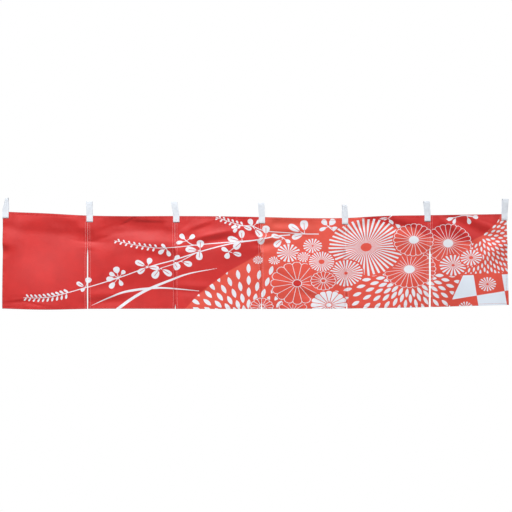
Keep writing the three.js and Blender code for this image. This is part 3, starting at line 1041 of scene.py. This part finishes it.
class Graph:
    """Short calls to add and link the nodes of one material or world."""

    def __init__(self, owner):
        owner.use_nodes = True
        self.owner = owner
        self.tree = owner.node_tree
        self.tree.nodes.clear()

    def add(self, kind, inputs=None, **settings):
        made = self.tree.nodes.new("ShaderNode" + kind)
        for key, value in settings.items():
            setattr(made, key, value)
        for key, value in (inputs or {}).items():
            value = value.socket if isinstance(value, Value) else value
            if isinstance(value, bpy.types.NodeSocket):
                self.tree.links.new(value, made.inputs[key])
            else:
                made.inputs[key].default_value = value
        return made

    def math(self, operation, *values):
        made = self.add("Math", dict(enumerate(values)), operation=operation)
        return Value(self, made.outputs[0])

    def attribute(self, name):
        return Value(self, self.add("Attribute", attribute_name=name).outputs["Fac"])

    def ramp(self, value, start, end, low=0.0, high=1.0):
        inputs = {"Value": value, "From Min": start, "From Max": end, "To Min": low, "To Max": high}
        made = self.add("MapRange", inputs, interpolation_type="SMOOTHSTEP")
        return Value(self, made.outputs["Result"])

    def noise(self, vector, scale, detail=2.0):
        made = self.add("TexNoise", {"Vector": vector, "Scale": scale, "Detail": detail})
        return Value(self, made.outputs["Fac"])

    def uneven(self, vector, scale, low, high, detail=2.0):
        """Soft patches of values between a low and a high one."""
        return self.ramp(self.noise(vector, scale, detail), *NOISE_SPAN, low, high)

    def mix(self, share, a, b, blend="MIX"):
        inputs = {0: share, 6: a, 7: b}
        return self.add("Mix", inputs, data_type="RGBA", blend_type=blend).outputs[2]

    def stretched(self, vector, x, y):
        return self.add("VectorMath", {0: vector, 1: (x, y, 1.0)}, operation="MULTIPLY").outputs[0]

    def weave(self, vector, pitch):
        """Height of a plain weave of threads at a pitch in metres."""
        parts = self.add("SeparateXYZ", {0: vector}).outputs
        turns = 2 * math.pi / pitch
        warp, weft = [(Value(self, parts[k]) * turns).to("SINE") for k in (0, 1)]
        return warp * weft


def new_material(name):
    """A new material's graph, and places on it in metres of flat cloth."""
    graph = Graph(bpy.data.materials.new(name))
    return graph, graph.add("UVMap", uv_map="flat").outputs[0]


def finish_material(graph, colour, roughness, height, bump, fixed):
    """Principled surface with its bump; fixed values go straight to the shader's sockets."""
    dent = graph.add("Bump", {"Height": height, "Strength": bump, "Distance": BUMP_DEPTH})
    inputs = {"Base Color": colour, "Roughness": roughness, "Normal": dent.outputs[0]}
    shader = graph.add("BsdfPrincipled", {**inputs, **fixed})
    graph.add("OutputMaterial", {"Surface": shader.outputs[0]})
    return graph.owner


class Petals:
    """A flower's signed distances in the shader, positive where it is white."""

    def __init__(self, graph):
        u, v, petals, self.reach, self.heart, self.kind = [
            graph.attribute(f"flower_{key}") for key in ("u", "v", "petals", "across", "heart", "kind")]
        self.graph = graph
        self.radius = (u * u + v * v).to("SQRT")
        per_turn = petals / (2 * math.pi)
        self.turn = v.to("ARCTAN2", u) * per_turn
        self.off = self.turn.to("PINGPONG", 0.5)
        self.pitch = self.radius / per_turn
        self.rim_pitch = self.reach / per_turn
        self.past_heart = self.radius - self.heart

    def is_kind(self, name):
        return self.kind.to("COMPARE", float(KINDS.index(name)), KIND_MARGIN)

    def rays(self):
        half = (self.pitch * RAY_SHARE).to("MINIMUM", RAY_WIDEST)
        beat = (self.turn.to("ROUND") * RAY_BEAT).to("SINE")
        tip = self.reach - (beat + 1.0) * RAY_UNEVEN * self.reach
        return least(half - self.off * self.pitch, tip - self.radius, self.past_heart)

    def to_rim(self):
        """Distance to the scalloped rim, positive inside."""
        side = self.off * 2.0
        rim = self.reach - side.to("POWER", RIM_POWER) * RIM_NOTCH * self.rim_pitch
        slope = side.to("POWER", RIM_POWER - 1) * (2 * RIM_POWER * RIM_NOTCH)
        return (rim - self.radius) / (slope * slope + 1.0).to("SQRT")

    def between_petals(self):
        return (0.5 - self.off) * self.pitch

    def outlined(self):
        to_rim = self.to_rim()
        lines = least(band(LINE_HALF, self.between_petals()), to_rim, self.past_heart)
        return most(lines, band(RIM_HALF, to_rim), band(RIM_HALF, self.past_heart))

    def filled(self):
        seams = self.between_petals() - SEAM_HALF
        petal = least(seams, self.to_rim(), self.past_heart - RING_HALF)
        return most(petal, -RING_HALF - self.past_heart)

    def white(self):
        """The distance of whichever kind of flower a point lies on."""
        outlined = self.outlined()
        core = most(outlined, self.past_heart * -1.0)
        drawn = {"rays": self.rays(), "outlined": outlined, "white heart": core,
                 "dark heart": outlined, "filled": self.filled()}
        shares = [distance * self.is_kind(kind) for kind, distance in drawn.items()]
        return sum(shares[1:], shares[0])

    def dark_heart(self):
        return self.graph.ramp(self.past_heart, *HEART_SPAN) * self.is_kind("dark heart")


def print_share(graph, flat, petals, on_flower):
    """How white the print is: motifs with their veins, and flowers."""
    bleed = graph.noise(flat, BLEED_SCALE).to("MULTIPLY_ADD", BLEED_REACH, -BLEED_REACH / 2)
    ink = graph.ramp(graph.attribute("white") + bleed, *INK_SPAN)
    vein = graph.ramp(graph.attribute("vein").to("ABSOLUTE"), *VEIN_SPAN)
    drawn = graph.ramp(petals.white() + bleed, *INK_SPAN)
    return most(ink * vein, drawn * on_flower)


def dye_and_edge_shade(graph, flat):
    """Patches of dye, thicker threads and painted shade that darkens the open edges."""
    mottle = graph.uneven(flat, *MOTTLE)
    slubs = graph.uneven(graph.stretched(flat, *SLUB_STRETCH), *SLUBS)
    return mottle * slubs * graph.ramp(graph.attribute("edge"), *EDGE_SHADE_SPAN, EDGE_SHADE_TONE, 1.0)


def cloth_material(name, deep, light, white, cool, strength):
    graph, flat = new_material(name)
    petals = Petals(graph)
    on_flower = graph.attribute("flower_whole").to("GREATER_THAN", WHOLE_FROM)
    shown = print_share(graph, flat, petals, on_flower) * strength
    ground = graph.ramp(graph.attribute("ground"), *GROUND_SPAN)
    red = graph.mix(ground - petals.dark_heart() * on_flower, deep, light)
    # The dyed red, darkened by painted shade along the open edges.
    dyed_and_shaded = graph.mix(1.0, red, dye_and_edge_shade(graph, flat), "MULTIPLY")
    inked = graph.mix(graph.ramp(graph.attribute("check"), *CHECK_SPAN), white, cool)
    colour = graph.mix(shown, dyed_and_shaded, inked)
    roughness = graph.uneven(flat, *CLOTH_ROUGHNESS)
    height = graph.weave(flat, THREAD_PITCH) + graph.noise(graph.stretched(flat, *YARN_STRETCH), 1.0)
    return finish_material(graph, colour, roughness, height, CLOTH_BUMP, CLOTH_FIXED)


def tape_material():
    graph, flat = new_material("white_woven_tape")
    woven = graph.mix(graph.uneven(flat, *TAPE_PATCHES), *TAPE_TONES)
    # Painted shade: the tape greys towards its crown.
    crown_shade = graph.ramp(graph.attribute("crown"), *CROWN_SHADE_SPAN, CROWN_SHADE_TONE, 1.0)
    colour = graph.mix(1.0, woven, crown_shade, "MULTIPLY")
    height = graph.weave(graph.stretched(flat, *TAPE_STRETCH), TAPE_PITCH)
    roughness = graph.uneven(flat, *TAPE_ROUGHNESS)
    return finish_material(graph, colour, roughness, height, TAPE_BUMP, WOVEN_FIXED)


def two_toned(graph, shade, tones, roughness):
    """Colour and roughness that follow the same noise."""
    colour = graph.mix(graph.ramp(shade, *NOISE_SPAN), *tones)
    return colour, graph.ramp(shade, *NOISE_SPAN, *roughness)


def thread_material(name, tones):
    graph, flat = new_material(name)
    twist = graph.noise(graph.stretched(flat, *TWIST_STRETCH), 1.0)
    looks = two_toned(graph, twist, tones, THREAD_ROUGHNESS)
    return finish_material(graph, *looks, twist, THREAD_BUMP, WOVEN_FIXED)


def floor_material():
    graph = Graph(bpy.data.materials.new("grey_floor"))
    place = graph.add("TexCoord").outputs["Object"]
    looks = two_toned(graph, graph.noise(place, *FLOOR_NOISE), FLOOR_TONES, FLOOR_ROUGHNESS)
    return finish_material(graph, *looks, graph.noise(place, FLOOR_GRAIN), FLOOR_BUMP, {})


# Stage, light and camera, in metres

FLOOR_Z = -1.35
FLOOR_CORNERS = [(-1.3, -1.2), (1.3, -1.2), (1.3, 0.45), (-1.3, 0.45)]
CAMERA_AIM = (-0.013, 0.0, -0.1795)
CAMERA_DISTANCE = 3.0
CAMERA_YAW = math.radians(4)
CAMERA_LENS = 62.48
CAMERA_SENSOR = 36
KEY_PLACE = (-1.0, -1.9, 2.1)
KEY_SIZE = (3.2, 1.6)
KEY_POWER = 88
SKY_LOW = 0.06
SKY_HIGH = 1.4
SKY_SPAN = (-0.05, 0.6)
SKY_TINT = (0.96, 0.98, 1.0, 1)
BACKDROP = (1, 1, 1, 1)


def build_floor():
    mesh = bpy.data.meshes.new("floor")
    mesh.from_pydata([(x, y, FLOOR_Z) for x, y in FLOOR_CORNERS], [], [(0, 1, 2, 3)])
    mesh.materials.append(floor_material())
    floor = linked("floor", mesh)


def build_camera():
    data = bpy.data.cameras.new("camera")
    data.lens = CAMERA_LENS
    data.sensor_width = CAMERA_SENSOR
    camera = linked("camera", data)
    offset = (-math.sin(CAMERA_YAW), -math.cos(CAMERA_YAW), 0)
    camera.location = [a + CAMERA_DISTANCE * b for a, b in zip(CAMERA_AIM, offset)]
    camera.rotation_euler = (math.radians(90), 0, -CAMERA_YAW)
    bpy.context.scene.camera = camera


def build_light():
    data = bpy.data.lights.new("key", "AREA")
    data.shape = "RECTANGLE"
    data.size, data.size_y = KEY_SIZE
    data.energy = KEY_POWER
    key = linked("key", data)
    key.location = KEY_PLACE
    rise = KEY_PLACE[2] - CAMERA_AIM[2]
    key.rotation_euler = (math.atan2(-KEY_PLACE[1], rise), 0, 0)


def build_sky():
    """White behind the object, and a softer light that comes mostly from above."""
    world = bpy.data.worlds.new("studio")
    bpy.context.scene.world = world
    graph = Graph(world)
    direction = graph.add("SeparateXYZ", {0: graph.add("TexCoord").outputs["Generated"]})
    strength = graph.ramp(direction.outputs[2], *SKY_SPAN, SKY_LOW, SKY_HIGH)
    soft = graph.add("Background", {"Color": SKY_TINT, "Strength": strength})
    plain = graph.add("Background", {"Color": BACKDROP, "Strength": 1.0})
    seen = graph.add("LightPath").outputs["Is Camera Ray"]
    both = graph.add("MixShader", {0: seen, 1: soft.outputs[0], 2: plain.outputs[0]})
    graph.add("OutputWorld", {"Surface": both.outputs[0]})


# The scene

def build_cloth():
    front_looks = (DEEP_RED, LIGHT_RED, WHITE_INK, COOL_INK, FRONT_STRENGTH)
    back_looks = (BACK_RED, BACK_RED, BACK_WHITE, BACK_WHITE, BACK_STRENGTH)
    front_cloth = cloth_material("printed_cloth_front", *front_looks)
    back_cloth = cloth_material("printed_cloth_back", *back_looks)
    pale_thread = thread_material("pale_thread", PALE_THREAD)
    red_thread = thread_material("red_thread", RED_THREAD)
    for panel in range(len(BOWS)):
        piece = build_panel(panel, front_cloth, back_cloth)
        stitches = build_stitches(panel, pale_thread, red_thread)
        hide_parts(f"panel_{panel + 1}")
        for part in (piece, stitches):
            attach(part, "root")


def build_loops():
    tape = tape_material()
    for index, loop in enumerate(LOOPS):
        piece = build_loop(index, loop, tape)
        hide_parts(f"loop_{index + 1}")
        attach(piece, "root")
        flat = (TAPE_WIDTH * MM, line_length(tape_line(loop)) * MM)


build_camera()
build_light()
build_sky()
build_floor()
build_loops()
build_cloth()
bpy.context.scene.view_settings.view_transform = "Standard"
